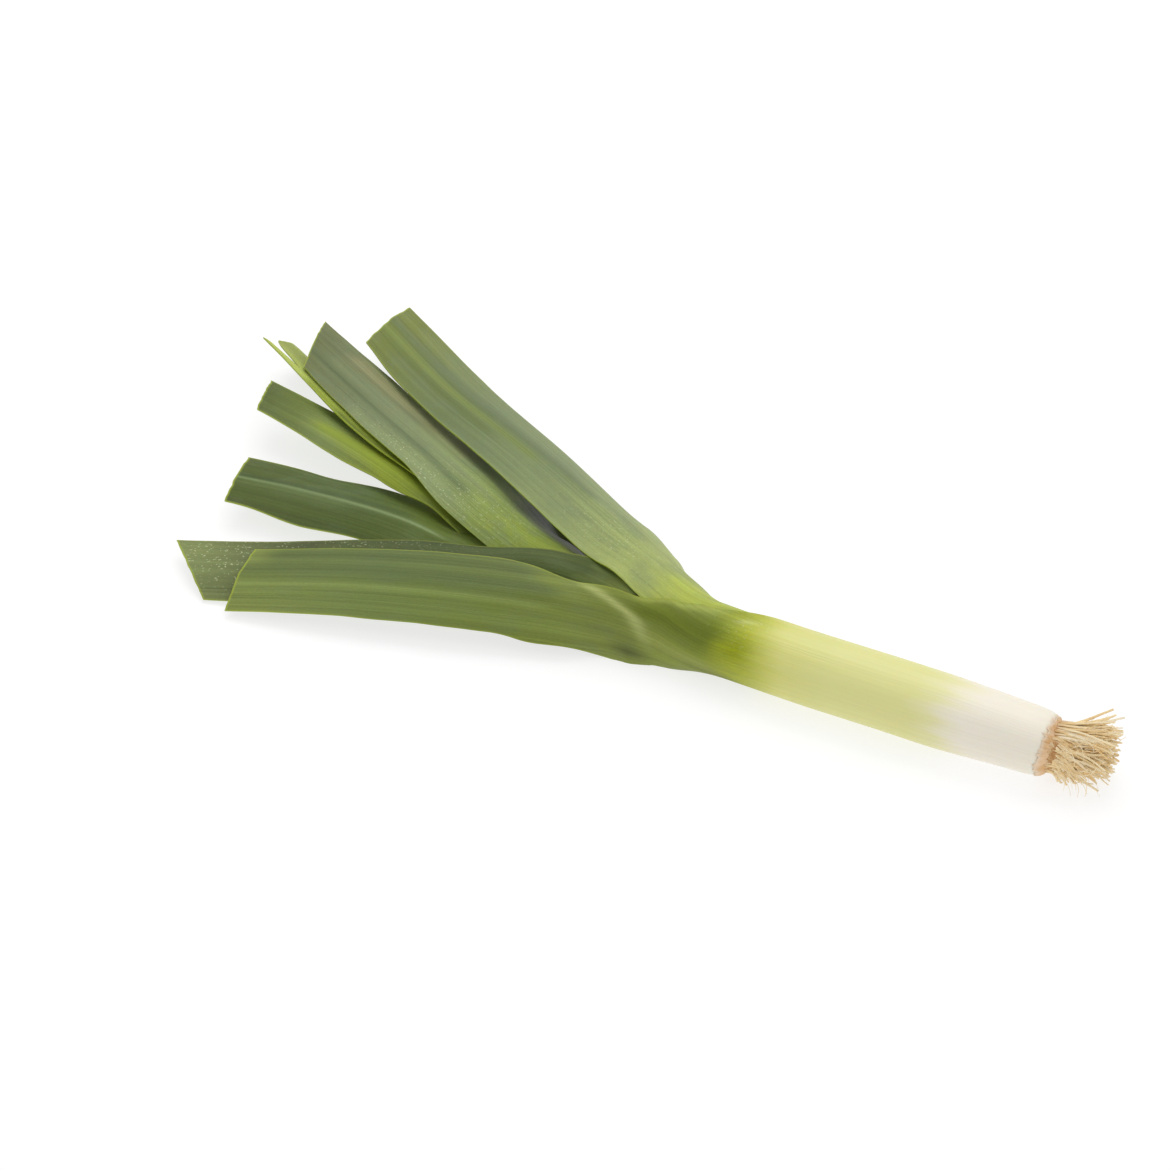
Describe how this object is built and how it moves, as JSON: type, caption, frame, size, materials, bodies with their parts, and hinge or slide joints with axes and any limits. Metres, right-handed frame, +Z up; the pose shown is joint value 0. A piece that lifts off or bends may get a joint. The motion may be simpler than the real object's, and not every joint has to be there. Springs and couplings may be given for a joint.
{
  "type": "leek",
  "caption": "Whole leek lying on its side: pale round shank with a trimmed root tuft and a flat fan of cut green leaves.",
  "frame": {"origin": "on the resting plane, under the middle of the whole object's box", "axes": "+X along the shank from the leaves to the roots, +Y to the side that the far leaves fan towards, +Z up from the surface that the leek lies on"},
  "size_m": [0.4949, 0.2462, 0.0365],
  "materials": {
    "shank_skin": "moist satin sheath skin, white at the roots and yellow-green towards the leaves",
    "leaf_green": "waxy dark green blade with a grey bloom and fine lengthwise veins",
    "root_straw": "dry matt straw-coloured root strands"
  },
  "bodies": {
    "root": {"shank": "shank_skin", "roots": "root_straw", "leaf_1_near": "leaf_green", "leaf_2_far": "leaf_green", "leaf_3_near": "leaf_green", "leaf_4_far": "leaf_green", "leaf_5_near": "leaf_green", "leaf_6_far": "leaf_green", "leaf_7_middle": "leaf_green"}
  },
  "joints": []
}
